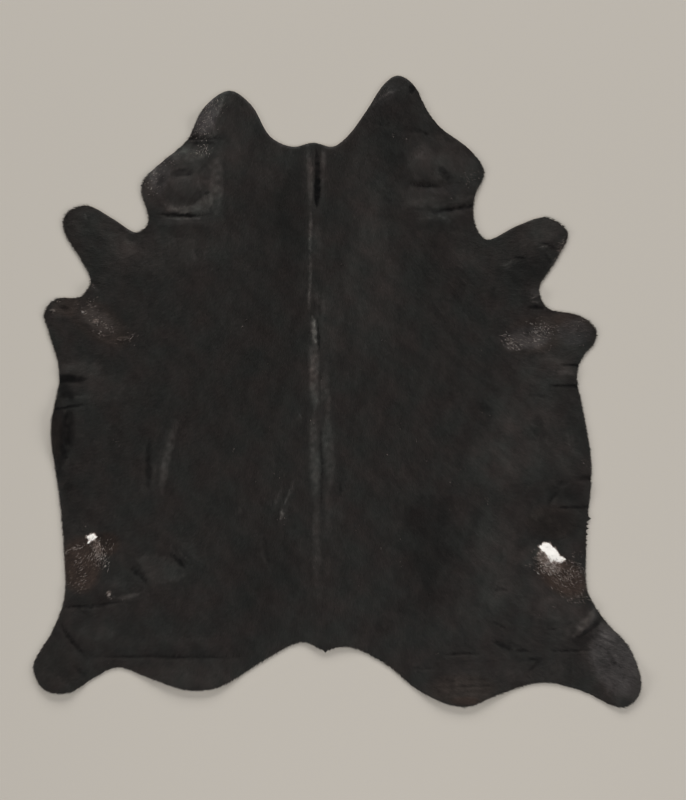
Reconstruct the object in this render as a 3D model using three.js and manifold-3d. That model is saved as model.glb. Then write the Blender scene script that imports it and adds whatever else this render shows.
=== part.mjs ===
// A whole cowhide laid out as a rug, hair side up: one skin in its natural outline, with no lining or hem.
// Millimetres, +Z up. The neck points along +Y, the tail along -Y, and the floor is Z = 0.

import * as THREE from "three";
import { mergeVertices } from "three/addons/utils/BufferGeometryUtils.js";
import Module from "manifold-3d";

// Driving dimensions
const THICKNESS = 4; // about 2 mm of leather under its lying coat
const EDGE_STEPS = 5; // points drawn between two marks of the outline
const SHEET_REACH = 1160; // how far the uncut sheet runs from the origin on each side
const CUTTER_REACH = 50; // how far the outline's cutter stands above and below the floor
const FOLD_END = 0.3; // how much of a fold's height is left at its ends

// The cut edge, counterclockwise from the notch over the backbone. Each row is one mark on the edge, and a
// smooth curve runs through them: a mark at each tip and hollow, and one on each slope between.
const EDGE = {
  neckNotch: [
    { x: -78, y: 845 },
    { x: -150, y: 831 },
    { x: -225, y: 865 },
  ],
  leftNeckFlap: [
    { x: -290, y: 973 },
    { x: -364, y: 1022 },
    { x: -449, y: 967 },
    { x: -505, y: 856 },
    { x: -603, y: 771 },
    { x: -663, y: 699 },
    { x: -639, y: 576 },
  ],
  leftForeleg: [
    { x: -677, y: 539 },
    { x: -762, y: 587 },
    { x: -850, y: 631 },
    { x: -921, y: 600 },
    { x: -928, y: 552 },
    { x: -870, y: 450 },
    { x: -836, y: 376 },
  ],
  leftElbow: [
    { x: -867, y: 321 },
    { x: -949, y: 314 },
    { x: -993, y: 267 },
    { x: -979, y: 203 },
  ],
  leftFlank: [
    { x: -942, y: 66 },
    { x: -969, y: -138 },
    { x: -944, y: -352 },
    { x: -925, y: -573 },
    { x: -925, y: -709 },
  ],
  leftHindLeg: [
    { x: -969, y: -824 },
    { x: -1030, y: -937 },
    { x: -993, y: -1012 },
    { x: -908, y: -1022 },
    { x: -816, y: -967 },
    { x: -745, y: -937 },
  ],
  leftRump: [
    { x: -636, y: -974 },
    { x: -500, y: -1015 },
    { x: -391, y: -1001 },
    { x: -262, y: -923 },
  ],
  tailRoot: [
    { x: -116, y: -852 },
    { x: -37, y: -882 },
    { x: 44, y: -869 },
  ],
  rightRump: [
    { x: 172, y: -930 },
    { x: 289, y: -1022 },
    { x: 432, y: -1071 },
    { x: 544, y: -1032 },
    { x: 700, y: -989 },
  ],
  rightHindLeg: [
    { x: 826, y: -1015 },
    { x: 972, y: -1073 },
    { x: 1030, y: -1022 },
    { x: 1003, y: -889 },
    { x: 904, y: -770 },
  ],
  rightFlank: [
    { x: 850, y: -675 },
    { x: 850, y: -522 },
    { x: 857, y: -410 },
    { x: 864, y: -236 },
    { x: 836, y: -63 },
    { x: 816, y: 56 },
  ],
  rightElbow: [
    { x: 836, y: 117 },
    { x: 875, y: 165 },
    { x: 882, y: 203 },
    { x: 850, y: 242 },
    { x: 797, y: 264 },
    { x: 718, y: 281 },
  ],
  rightForeleg: [
    { x: 687, y: 345 },
    { x: 748, y: 450 },
    { x: 785, y: 539 },
    { x: 711, y: 590 },
    { x: 615, y: 563 },
    { x: 507, y: 515 },
  ],
  rightNeckFlap: [
    { x: 469, y: 570 },
    { x: 469, y: 661 },
    { x: 500, y: 743 },
    { x: 452, y: 821 },
    { x: 350, y: 899 },
    { x: 306, y: 957 },
    { x: 257, y: 1047 },
    { x: 207, y: 1073 },
    { x: 163, y: 1046 },
    { x: 99, y: 950 },
    { x: 36, y: 866 },
    { x: -14, y: 831 },
  ],
};

// Where the hide stands clear of the floor: a line from (x0, y0) to (x1, y1), bowed to its left by bow,
// highest along its middle and easing to nothing at half its width on each side. The underside rises too.
const LIFTS = [
  { of: "left neck flap roll", x0: -490, y0: 905, x1: -415, y1: 910, bow: 4, width: 90, rise: 7 },
  { of: "left neck pillow", x0: -585, y0: 680, x1: -465, y1: 690, bow: -12, width: 180, rise: 13 },
  { of: "left cheek roll", x0: -610, y0: 560, x1: -430, y1: 562, bow: -4, width: 80, rise: 6 },
  { of: "right neck pillow", x0: 260, y0: 790, x1: 315, y1: 735, bow: 0, width: 150, rise: 9 },
  { of: "right neck roll", x0: 265, y0: 650, x1: 460, y1: 680, bow: -8, width: 95, rise: 9 },
  { of: "right shoulder roll", x0: 285, y0: 582, x1: 445, y1: 594, bow: -6, width: 80, rise: 5 },
  { of: "left armpit fold", x0: -865, y0: 345, x1: -800, y1: 318, bow: 4, width: 80, rise: 8 },
  { of: "right armpit curl", x0: 650, y0: 312, x1: 700, y1: 322, bow: 4, width: 70, rise: 10 },
  { of: "left flank wrinkle, front", x0: -950, y0: 62, x1: -875, y1: 60, bow: 4, width: 70, rise: 6 },
  { of: "left flank wrinkle, back", x0: -950, y0: -14, x1: -865, y1: -8, bow: 4, width: 75, rise: 7 },
  { of: "left flank roll", x0: -958, y0: -50, x1: -948, y1: -230, bow: -6, width: 90, rise: 10 },
  { of: "right flank wrinkle", x0: 740, y0: 52, x1: 820, y1: 58, bow: -4, width: 70, rise: 7 },
  { of: "right flank fold", x0: 740, y0: -345, x1: 862, y1: -340, bow: -6, width: 90, rise: 9 },
  { of: "left belly ridge", x0: -546, y0: -95, x1: -600, y1: -355, bow: 6, width: 76, rise: 6 },
  { of: "left loin streak", x0: -182, y0: -318, x1: -206, y1: -440, bow: 3, width: 56, rise: 4 },
  { of: "left haunch crumple, outer", x0: -680, y0: -510, x1: -562, y1: -568, bow: 5, width: 84, rise: 7 },
  { of: "left haunch crumple, inner", x0: -560, y0: -516, x1: -478, y1: -562, bow: -4, width: 80, rise: 6 },
  { of: "left haunch fold", x0: -925, y0: -692, x1: -680, y1: -676, bow: 6, width: 90, rise: 8 },
  { of: "left shank fold", x0: -905, y0: -775, x1: -760, y1: -765, bow: 8, width: 90, rise: 7 },
  { of: "left rump roll", x0: -770, y0: -866, x1: -320, y1: -860, bow: -6, width: 85, rise: 7 },
  { of: "left rump edge", x0: -660, y0: -985, x1: -360, y1: -1005, bow: -16, width: 120, rise: 10 },
  { of: "left shank edge", x0: -1020, y0: -975, x1: -880, y1: -1025, bow: -20, width: 120, rise: 10 },
  { of: "tail root edge", x0: -110, y0: -862, x1: 60, y1: -878, bow: 0, width: 100, rise: 7 },
  { of: "right rump roll", x0: 370, y0: -925, x1: 695, y1: -915, bow: 8, width: 85, rise: 6 },
  { of: "right rump edge", x0: 290, y0: -1035, x1: 560, y1: -1040, bow: -20, width: 120, rise: 10 },
  { of: "right shank fold", x0: 872, y0: -732, x1: 806, y1: -830, bow: 4, width: 90, rise: 10 },
  { of: "right shank edge", x0: 950, y0: -1075, x1: 1030, y1: -950, bow: -16, width: 120, rise: 11 },
];

// Where only the coat is higher or lower, over a skin that lies on the floor.
const COAT = [
  { of: "mane, left", x0: -99, y0: 838, x1: -99, y1: 600, bow: 0, width: 70, rise: 4 },
  { of: "mane, right", x0: -37, y0: 838, x1: -40, y1: 630, bow: 0, width: 64, rise: 4 },
  { of: "mane groove", x0: -67, y0: 842, x1: -65, y1: 620, bow: 0, width: 50, rise: -3 },
  { of: "parting of the withers", x0: -96, y0: 660, x1: -92, y1: 270, bow: 3, width: 64, rise: 4 },
  { of: "backbone", x0: -84, y0: 330, x1: -76, y1: -90, bow: -3, width: 84, rise: 5 },
  { of: "slit beside the backbone", x0: -62, y0: 330, x1: -58, y1: 140, bow: 0, width: 44, rise: -2 },
  { of: "loin, left", x0: -84, y0: -20, x1: -76, y1: -480, bow: 3, width: 72, rise: 4 },
  { of: "loin, right", x0: -30, y0: -40, x1: -34, y1: -430, bow: -3, width: 66, rise: 4 },
  { of: "croup", x0: -72, y0: -380, x1: -62, y1: -665, bow: 4, width: 90, rise: 3 },
  { of: "left neck crease", x0: -506, y0: 859, x1: -415, y1: 862, bow: 2, width: 60, rise: -2 },
  { of: "left cheek crease", x0: -606, y0: 600, x1: -455, y1: 598, bow: -4, width: 60, rise: -2 },
  { of: "right cheek crease", x0: 250, y0: 706, x1: 330, y1: 696, bow: 0, width: 60, rise: -2 },
  { of: "right neck crease", x0: 310, y0: 612, x1: 462, y1: 638, bow: -4, width: 60, rise: -2 },
  { of: "left flank groove", x0: -921, y0: -50, x1: -914, y1: -220, bow: -4, width: 60, rise: -2 },
  { of: "left haunch crease", x0: -930, y0: -734, x1: -720, y1: -713, bow: 4, width: 60, rise: -2 },
  { of: "left rump crease", x0: -731, y0: -906, x1: -315, y1: -904, bow: -3, width: 60, rise: -2 },
  { of: "right shank crease", x0: 892, y0: -755, x1: 815, y1: -852, bow: 4, width: 60, rise: -2 },
];

// The sheet is plain between these patches, whose own edges lie flat. Each is a grid of its folds' points.
const PATCHES = [
  { of: "left neck", left: -690, right: -360, back: 510, front: 965, stepX: 24, stepY: 20 },
  { of: "right neck", left: 175, right: 520, back: 530, front: 870, stepX: 24, stepY: 20 },
  { of: "backbone", left: -145, right: 15, back: -720, front: 875, stepX: 16, stepY: 40 },
  { of: "left armpit", left: -915, right: -750, back: 270, front: 395, stepX: 20, stepY: 20 },
  { of: "right armpit", left: 605, right: 745, back: 270, front: 370, stepX: 20, stepY: 20 },
  { of: "left flank", left: -1020, right: -820, back: -285, front: 110, stepX: 20, stepY: 22 },
  { of: "right flank wrinkle", left: 695, right: 865, back: 5, front: 105, stepX: 22, stepY: 18 },
  { of: "right flank fold", left: 685, right: 915, back: -400, front: -285, stepX: 24, stepY: 18 },
  { of: "left belly", left: -650, right: -500, back: -405, front: -45, stepX: 22, stepY: 40 },
  { of: "left loin", left: -240, right: -150, back: -480, front: -280, stepX: 18, stepY: 28 },
  { of: "left haunch", left: -730, right: -430, back: -615, front: -460, stepX: 24, stepY: 20 },
  { of: "left rear", left: -1100, right: -270, back: -1110, front: -620, stepX: 26, stepY: 20 },
  { of: "tail root", left: -170, right: 120, back: -940, front: -800, stepX: 24, stepY: 20 },
  { of: "right rump", left: 205, right: 750, back: -1130, front: -860, stepX: 26, stepY: 20 },
  { of: "right shank", left: 755, right: 1110, back: -1155, front: -680, stepX: 22, stepY: 22 },
];

const wasm = await Module();
wasm.setup();

// A closed geometry as a solid that can be cut.
function solidOf(geometry) {
  const bare = geometry.clone();
  bare.deleteAttribute("normal");
  bare.deleteAttribute("uv");
  const merged = mergeVertices(bare);
  return new wasm.Manifold(
    new wasm.Mesh({
      numProp: 3,
      vertProperties: merged.attributes.position.array,
      triVerts: new Uint32Array(merged.index.array),
    }),
  );
}

// A cut solid as a geometry again.
function geometryOf(solid) {
  const mesh = solid.getMesh();
  const geometry = new THREE.BufferGeometry();
  geometry.setAttribute("position", new THREE.BufferAttribute(mesh.vertProperties, mesh.numProp));
  geometry.setIndex(new THREE.BufferAttribute(mesh.triVerts, 1));
  geometry.computeVertexNormals();
  return geometry;
}

// The whole cut edge as points, centred on the origin.
function edgePoints() {
  const marks = Object.values(EDGE)
    .flat()
    .map(({ x, y }) => new THREE.Vector3(x, y, 0));
  const curve = new THREE.CatmullRomCurve3(marks, true, "centripetal");
  const points = curve.getPoints(marks.length * EDGE_STEPS).slice(0, -1);
  const centre = new THREE.Box3().setFromPoints(points).getCenter(new THREE.Vector3());
  return points.map((point) => new THREE.Vector2(point.x - centre.x, point.y - centre.y));
}

// How high one fold stands at a point.
function foldHeight({ x0, y0, x1, y1, bow, width, rise }, x, y) {
  const start = new THREE.Vector2(x0, y0);
  const run = new THREE.Vector2(x1, y1).sub(start);
  const point = new THREE.Vector2(x, y);
  const share = THREE.MathUtils.clamp(point.clone().sub(start).dot(run) / run.lengthSq(), 0, 1);
  const side = new THREE.Vector2(-run.y, run.x).normalize();
  const onLine = start.addScaledVector(run, share).addScaledVector(side, 4 * bow * share * (1 - share));
  const across = 1 - THREE.MathUtils.smoothstep(onLine.distanceTo(point), 0, width / 2);
  const along = THREE.MathUtils.lerp(1, FOLD_END, Math.abs(2 * share - 1) ** 3);
  return rise * across * along;
}

function totalHeight(folds, x, y) {
  return folds.reduce((sum, fold) => sum + foldHeight(fold, x, y), 0);
}

// One patch of the sheet: a top and an underside on the same grid, raised by the folds.
function foldedPatch({ left, right, back, front, stepX, stepY }) {
  const width = right - left;
  const length = front - back;
  const columns = Math.round(width / stepX);
  const rows = Math.round(length / stepY);
  const geometry = new THREE.BoxGeometry(width, length, THICKNESS, columns, rows, 1);
  geometry.translate(left + width / 2, back + length / 2, THICKNESS / 2);
  const position = geometry.attributes.position;
  for (let i = 0; i < position.count; i++) {
    const [x, y, z] = [position.getX(i), position.getY(i), position.getZ(i)];
    const coat = z > 0 ? totalHeight(COAT, x, y) : 0;
    position.setZ(i, z + totalHeight(LIFTS, x, y) + coat);
  }
  return geometry;
}

function rectanglePoints(left, right, back, front) {
  return [
    new THREE.Vector2(left, back),
    new THREE.Vector2(right, back),
    new THREE.Vector2(right, front),
    new THREE.Vector2(left, front),
  ];
}

// The uncut sheet: a plain plate with the patches let into it.
function foldedSheet() {
  const plate = new THREE.Shape(rectanglePoints(-SHEET_REACH, SHEET_REACH, -SHEET_REACH, SHEET_REACH));
  plate.holes = PATCHES.map(({ left, right, back, front }) => {
    return new THREE.Path(rectanglePoints(left, right, back, front));
  });
  const plain = solidOf(new THREE.ExtrudeGeometry(plate, { depth: THICKNESS, bevelEnabled: false }));
  return PATCHES.reduce((sheet, patch) => sheet.add(solidOf(foldedPatch(patch))), plain);
}

// A tall prism of the outline, which cuts the sheet.
function edgeCutter(points) {
  const cutter = new THREE.ExtrudeGeometry(new THREE.Shape(points), {
    depth: 2 * CUTTER_REACH,
    bevelEnabled: false,
  });
  return cutter.translate(0, 0, -CUTTER_REACH);
}

function cutHide() {
  const cutter = solidOf(edgeCutter(edgePoints()));
  return geometryOf(foldedSheet().intersect(cutter));
}

const hairOnLeather = new THREE.MeshStandardMaterial({ color: "#272523", roughness: 0.6, metalness: 0 });

const hide = new THREE.Mesh(cutHide(), hairOnLeather);
hide.name = "hide";

const rug = new THREE.Group();
rug.add(hide);

export default rug;
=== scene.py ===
"""A whole black cowhide laid flat as a rug, hair side up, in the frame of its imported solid.

Lengths are in millimetres until a mesh is made. +Y points to the neck and +X to the right.
The hide is one skin with a suede back. Its coat is many short lying locks on that skin.
"""

import math
from collections import namedtuple

import bmesh
import bpy
import numpy as np
from mathutils.geometry import delaunay_2d_cdt
from mathutils.kdtree import KDTree
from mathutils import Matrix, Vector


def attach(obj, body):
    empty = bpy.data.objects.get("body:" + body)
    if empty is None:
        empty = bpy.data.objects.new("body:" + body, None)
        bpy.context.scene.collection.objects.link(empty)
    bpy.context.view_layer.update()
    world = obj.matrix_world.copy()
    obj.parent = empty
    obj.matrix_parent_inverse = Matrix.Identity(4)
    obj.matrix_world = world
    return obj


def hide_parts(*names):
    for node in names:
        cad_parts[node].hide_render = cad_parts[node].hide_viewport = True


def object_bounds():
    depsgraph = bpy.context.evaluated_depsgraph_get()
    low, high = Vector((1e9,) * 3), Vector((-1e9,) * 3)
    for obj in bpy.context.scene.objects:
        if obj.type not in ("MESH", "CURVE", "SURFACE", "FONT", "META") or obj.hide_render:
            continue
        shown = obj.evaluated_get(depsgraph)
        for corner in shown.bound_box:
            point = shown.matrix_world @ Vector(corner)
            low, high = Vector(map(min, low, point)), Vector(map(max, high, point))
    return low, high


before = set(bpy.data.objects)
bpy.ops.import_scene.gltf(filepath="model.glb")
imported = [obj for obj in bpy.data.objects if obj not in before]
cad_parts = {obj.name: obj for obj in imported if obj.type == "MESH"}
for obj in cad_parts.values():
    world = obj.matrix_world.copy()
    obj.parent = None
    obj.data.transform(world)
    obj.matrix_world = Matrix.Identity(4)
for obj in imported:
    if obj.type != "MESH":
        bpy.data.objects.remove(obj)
cad_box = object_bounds()

MM = 0.001  # metres in a millimetre

# Seeds of what is drawn at random
COAT_SEED, FRINGE_SEED, FLECK_SEED = 7, 8, 9
FLOW_SEED, SWELL_SEED = 7, 7
FRAY_SEEDS = (8, 9)  # for swaying along x and along y
PATCH_SEED, BROKEN_SEED = 10, 11
STREAK_SEED = 207  # of the nap's streaks that run straight to the tail

# The skin
LEATHER = 3.0  # leather and the under-coat that lies close on it
THINNEST = 1.6  # what is left of them at the bottom of a crease
FLOOR_GAP = 0.3  # keeps the suede off the floor's own plane
CUT_BACK = 1.5  # how far the leather is cut back from the outline where its hair hangs over it
FOLD_END = 0.3  # how much of a fold's height is left at its ends
WELD = 0.01  # corners closer than this are one corner
EDGE_STEP = 5.0  # between points of the cut edge
SKIN_STEP = 9.0  # between points of the hair side
CREASE_STEP = 4.5  # between points of the hair side at its creases
BACK_STEP = 15.0  # between points of the suede side
STEEP = 0.3  # a face whose normal rises less than this is part of the cut edge

# The coat
SPINE_X = -66.0  # of the backbone, which parts the left pieces of the coat from the right ones
WAIST_Y = -130.0  # parts its front pieces from its rear ones
LOCK_SPACING = 4.2
LOCK_LENGTH = 19.0
LOCK_WIDTH = 2.8
LOCK_ROOT = 0.5  # how deep a lock's root sits in the skin
LOCK_CREST = 0.35  # how far along a lock its highest point is
LOCK_RISE = 0.9  # of the crest over the skin
LEAST_CREST = 0.25  # how far a lock's crest stands over the straight line from root to tip
TIP_RISE = 1.1  # of the tip over the skin
RISE_SPREAD = (0.6, 1.4)  # of a lock's heights, as shares of the usual ones
LOCK_ROUND = 0.45  # how far a lock's shading turns to its sides
LOCK_FACES = np.array(((0, 1, 2), (1, 3, 2), (0, 2, 3), (0, 3, 1)))  # of its roots, crest and tip
SPREAD = (0.7, 1.3)  # of lengths and widths, as shares of the usual one
SHORTEST = 6.0
LEAST_SLANT = 0.05  # a lock is trimmed as if it pointed outwards at least this much
MARKED_LENGTH = 8.0  # of the hair at streaks and white patches, which keeps their borders clear
WHITE_REACH = 70.0  # how far from its middle a white patch has such hair
FLANK_TURN = 62.0  # degrees that the hair turns outwards from the backbone to the flank
FLANK_START, FLANK_REACH = -60.0, 900.0  # where it starts and is complete, from the backbone
TURN_SWELL, TURN_SWELL_SIZE = 5.0, 160.0  # degrees that the common flow sways, and over what length
TURN_STRAY = 7.0  # degrees that a lock strays from its neighbours
HEADING_WEIGHT = 3.0  # of a named heading against the common flow

# The edge's hair
EDGE_OVERHANG = 5.2  # how far the hair reaches past the cut edge where no fringe is named
OVERHANG_SPREAD = (0.5, 1.3)
FRINGE_STEP = 2.0
FRINGE_INSET = (3.0, 9.0)  # how far within the edge its roots sit
FRINGE_WIDTH = (2.0, 3.4)
FRINGE_SPLAY = 0.5  # how far it turns out from the coat's flow
INWARD_MOST = -0.1  # hair that points further inwards than this doesn't hang past the edge
FRINGE_SLANT = 0.3  # the rest reaches out as if it pointed outwards at least this much
SWELL = 13.0  # how far apart its longer parts are
SWELL_REACH = (0.4, 1.6)  # how far it reaches between them and in them
TUFT_HAIRS = 2.5  # in a tuft, for each millimetre of its width
TUFT_ENDS = (0.5, 1.0)  # how far towards its point they reach

# Pale hairs
FLECK_RISE = 1.0  # over the coat
FLECK_WIDTH = (0.6, 1.2)
FLECK_STRAY = 22.0  # degrees that they stray from the coat's flow
FLECK_FADE = 2.2  # the higher, the fewer of them are bright
PALE_WILL = (0.3, 2.2)  # of its zone's share, what the darkest and the palest lock have
CLUMP = 3  # hairs in a clump
CLUMP_CORE = 0.5  # how far from the middle most clumps are, as a share of the way to the border
CLUMP_SPREAD = 9.0

# Painted sheen and shade in the coat, and its random mottle, in doublings of its plain black
CRISP = 0.4  # how much of a streak's width has its full tone
ZONE_CORE = 0.6  # how much of a zone has its full share
STREAK_TAPER = 0.8  # how much of its width a streak loses towards its ends
BROKEN, BROKEN_SIZE = 0.35, 26.0  # how uneven streaks are along their run, and over what length
STREAK_FRAYS = ((140.0, 2.0), (24.0, 1.5), (9.0, 0.8))  # size and sway of the waves on their borders
PATCH_FRAYS = ((60.0, 6.0), (20.0, 4.0))  # the same for zones and patches
PATCHES = ((95.0, 0.09), (38.0, 0.08))  # size and tone of the coat's common patches
PATCH_EDGE = 4.0  # the higher, the clearer their borders
NAP_STREAK = (120.0, 26.0)  # length and width of the nap's streaks
STREAK_WAY, LAST_WAY = 30, 120  # degrees between the ways they are worked out for, and the last one
NAP_UNEVEN = 0.04
WAVE_COUNT = 12
WAVE_SPREAD = (0.7, 1.6)  # of the waves' lengths, as shares of the usual one
TONE_GAIN = 1.2  # makes up for the gloss, which has no tone
STRAND_TONE = 0.22  # how far single locks stray from the tone
MIXED_STRAY = 1.6  # how many times further those do that are brown or grizzled

# Colours and the sizes of what is too fine for the mesh
BLACK_COOL, BLACK_WARM = "#242422", "#272321"
BROWN_HAIR, GREY_HAIR = "#302722", "#363434"
TAN_HAIR, WHITE_HAIR = "#d9bdae", "#faf6f0"
WARM_PATCH = 110.0  # of the coat's cooler and warmer blacks
HAIR_STREAK = (0.625, 12.5)  # width and length, drawn coarser than hairs, which would only glitter
HAIR_DEPTH = 0.3  # of the grooves between them
STRAND_SHIFT = 500.0  # how far locks are set apart in those streaks, so that no two look alike
SUEDE_DARK, SUEDE_LIGHT = "#8d7f6f", "#b5a690"
SUEDE_CLOUD = 60.0
SUEDE_NAP, SUEDE_DEPTH = 2.5, 0.5  # drawn coarser than its fibres, to show from a step away
FLOOR_PAINT = "#b5afa6"

# Sockets of a node that mixes two colours
FACTOR, FIRST, SECOND, RESULT = 0, 6, 7, 2

# The skin's map for the bake: hair side on its left, suede side on its right, cut edge along its top.
MAP_MARGIN = 30.0
BACK_SHARE = 0.5
RIM_SHARE = 0.02

# The stage, in metres
FLOOR_SIZE = 14.0
CAMERA_HEIGHT = 4.0  # above the hide
VIEW_LENGTH = 2.72  # what the photograph's longer side takes in
VIEW_X, VIEW_Y = 0.0199, -0.0300  # its middle
WORLD_COLOUR, WORLD_LIGHT = "#ffffff", 0.085
LAMPS = [  # name, place, width and height, power
    ("overhead", (0.3, -2.6, 3.8), (2.0, 2.0), 53),
    ("neck side", (0.0, 14.0, 5.4), (21.0, 5.2), 3580),
    ("left side", (-14.0, -4.4, 4.2), (14.0, 4.2), 1620),
    ("right side", (14.0, -4.4, 4.2), (14.0, 4.2), 1830),
]

# Marks of this hide, by the columns of their rows. A bow or turn of 0, the last column, is left out.
Fold = namedtuple("Fold", "of x0 y0 x1 y1 width rise bow", defaults=(0,))
Streak = namedtuple("Streak", "of x0 y0 x1 y1 width tone bow", defaults=(0,))
Zone = namedtuple("Zone", "of x y across along share turn", defaults=(0,))
Patch = namedtuple("Patch", "of tone outline")
Heading = namedtuple("Heading", "of x y reach degrees")
Fringe = namedtuple("Fringe", "of x y reach overhang drawn_in")
Tuft = namedtuple("Tuft", "of x y width reach")
Flecks = namedtuple("Flecks", "of x y across along count pale length turn", defaults=(0,))

# Lying locks, by arrays with a row for each
Locks = namedtuple("Locks", "roots ways lengths widths strand white")

# Where the hide stands clear of the floor: a line from (x0, y0) to (x1, y1), bowed to its left by bow,
# highest along its middle and easing to nothing at half its width on each side.
LIFTS = [Fold(*row) for row in (  # name, x0, y0, x1, y1, width, rise, bow
    ("left neck flap roll", -490, 905, -415, 910, 90, 7, 4),
    ("left neck pillow", -585, 680, -465, 690, 180, 13, -12),
    ("left cheek roll", -610, 560, -430, 562, 80, 6, -4),
    ("right neck pillow", 260, 790, 315, 735, 150, 9),
    ("right neck roll", 265, 650, 460, 680, 95, 9, -8),
    ("right shoulder roll", 285, 582, 445, 594, 80, 5, -6),
    ("left armpit fold", -865, 345, -800, 318, 80, 8, 4),
    ("right armpit curl", 650, 312, 700, 322, 70, 10, 4),
    ("left flank wrinkle, front", -950, 62, -875, 60, 70, 6, 4),
    ("left flank wrinkle, back", -950, -14, -865, -8, 75, 7, 4),
    ("left flank roll", -958, -50, -948, -230, 90, 10, -6),
    ("right flank wrinkle", 740, 52, 820, 58, 70, 7, -4),
    ("right flank fold", 740, -345, 862, -340, 90, 9, -6),
    ("left belly ridge", -546, -95, -600, -355, 76, 6, 6),
    ("left loin streak", -182, -318, -206, -440, 56, 4, 3),
    ("left haunch crumple, outer", -680, -510, -562, -568, 84, 7, 5),
    ("left haunch crumple, inner", -560, -516, -478, -562, 80, 6, -4),
    ("left haunch fold", -925, -692, -680, -676, 90, 8, 6),
    ("left shank fold", -905, -775, -760, -765, 90, 7, 8),
    ("left rump roll", -770, -866, -320, -860, 85, 7, -6),
    ("left rump edge", -660, -985, -360, -1005, 120, 10, -16),
    ("left shank edge", -1020, -975, -880, -1025, 120, 10, -20),
    ("tail root edge", -110, -862, 60, -878, 100, 7),
    ("right rump roll", 370, -925, 695, -915, 85, 6, 8),
    ("right rump edge", 290, -1035, 560, -1040, 120, 10, -20),
    ("right shank fold", 872, -732, 806, -830, 90, 10, 4),
    ("right shank edge", 950, -1075, 1030, -950, 120, 11, -16),
)]

# Where the coat alone is higher or lower, over a skin that lies on the floor.
RELIEF = [Fold(*row) for row in (  # name, x0, y0, x1, y1, width, rise, bow
    ("mane, left", -99, 838, -99, 600, 60, 3.5),
    ("mane, right", -37, 838, -40, 630, 54, 3.5),
    ("mane groove", -67, 842, -65, 620, 40, -3),
    ("parting of the withers", -96, 660, -92, 270, 50, 3.5, 3),
    ("backbone", -84, 330, -76, -90, 84, 4, -3),
    ("slit beside the backbone", -62, 330, -58, 140, 26, -2.5),
    ("loin, left", -84, -20, -76, -480, 62, 3.5, 3),
    ("loin, right", -30, -40, -34, -430, 56, 3.5, -3),
    ("croup", -72, -380, -62, -665, 90, 3, 4),
    ("left neck crease", -506, 859, -415, 862, 26, -2.5, 2),
    ("left cheek crease", -606, 600, -455, 598, 28, -3, -4),
    ("right cheek crease", 250, 706, 330, 696, 24, -2.5),
    ("right neck crease", 310, 612, 462, 638, 26, -2.5, -4),
    ("left flank groove", -921, -50, -914, -220, 26, -2.5, -4),
    ("left haunch crease", -930, -734, -720, -713, 26, -2.5, 4),
    ("left shank crease", -942, -775, -865, -886, 26, -2, -8),
    ("left rump crease", -731, -906, -315, -904, 26, -2, -3),
    ("right rump crease, inner", 360, -892, 470, -892, 24, -2),
    ("right rump crease, outer", 530, -842, 650, -888, 24, -2, 4),
    ("right hock crease", 730, -880, 855, -880, 24, -2, 4),
    ("right shank crease", 892, -755, 815, -852, 28, -2.5, 4),
)]
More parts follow.
